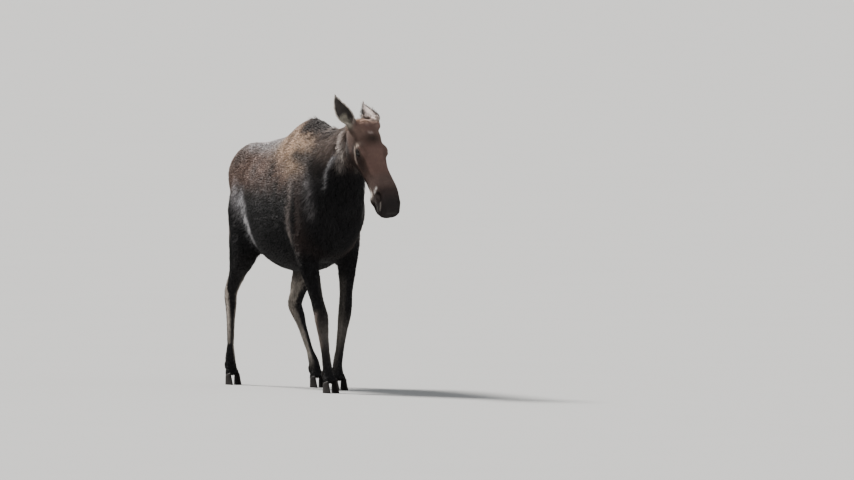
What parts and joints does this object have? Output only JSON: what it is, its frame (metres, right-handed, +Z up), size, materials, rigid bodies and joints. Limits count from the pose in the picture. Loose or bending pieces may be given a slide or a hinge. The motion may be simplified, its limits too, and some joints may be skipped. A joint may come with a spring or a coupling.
{
  "type": "moose model",
  "caption": "Life-size still model of a cow moose walking, its head lowered and turned a little to its left.",
  "frame": {"origin": "on the floor, under the middle of the bounding box", "axes": "+Z up; the animal faces -Y, its left side is at +X"},
  "size_m": [0.5912, 2.357, 1.91],
  "materials": {
    "coat_body": "coarse hair, dark brown, near black below, tan on the hump",
    "coat_neck": "coarse long hair, greyish brown with pale streaks",
    "coat_head": "short reddish brown hair, dark on the muzzle",
    "coat_ear": "short grey-brown hair with pale rims",
    "coat_leg": "short hair, dark in front, greyish tan behind and inside",
    "eye": "wet dark brown eye",
    "hoof": "dark horn"
  },
  "bodies": {
    "root": {"trunk": "coat_body", "neck": "coat_neck", "head": "coat_head", "tail": "coat_body", "ear_left": "coat_ear", "eye_left": "eye", "ear_right": "coat_ear", "eye_right": "eye", "foreleg_left_upper": "coat_leg", "foreleg_left_lower": "coat_leg", "foreleg_left_foot": "coat_leg", "foreleg_left_hoof_inner": "hoof", "foreleg_left_dewclaw_inner": "hoof", "foreleg_left_hoof_outer": "hoof", "foreleg_left_dewclaw_outer": "hoof", "foreleg_right_upper": "coat_leg", "foreleg_right_lower": "coat_leg", "foreleg_right_foot": "coat_leg", "foreleg_right_hoof_inner": "hoof", "foreleg_right_dewclaw_inner": "hoof", "foreleg_right_hoof_outer": "hoof", "foreleg_right_dewclaw_outer": "hoof", "hindleg_left_upper": "coat_leg", "hindleg_left_lower": "coat_leg", "hindleg_left_foot": "coat_leg", "hindleg_left_hoof_inner": "hoof", "hindleg_left_dewclaw_inner": "hoof", "hindleg_left_hoof_outer": "hoof", "hindleg_left_dewclaw_outer": "hoof", "hindleg_right_upper": "coat_leg", "hindleg_right_lower": "coat_leg", "hindleg_right_foot": "coat_leg", "hindleg_right_hoof_inner": "hoof", "hindleg_right_dewclaw_inner": "hoof", "hindleg_right_hoof_outer": "hoof", "hindleg_right_dewclaw_outer": "hoof"}
  },
  "joints": []
}
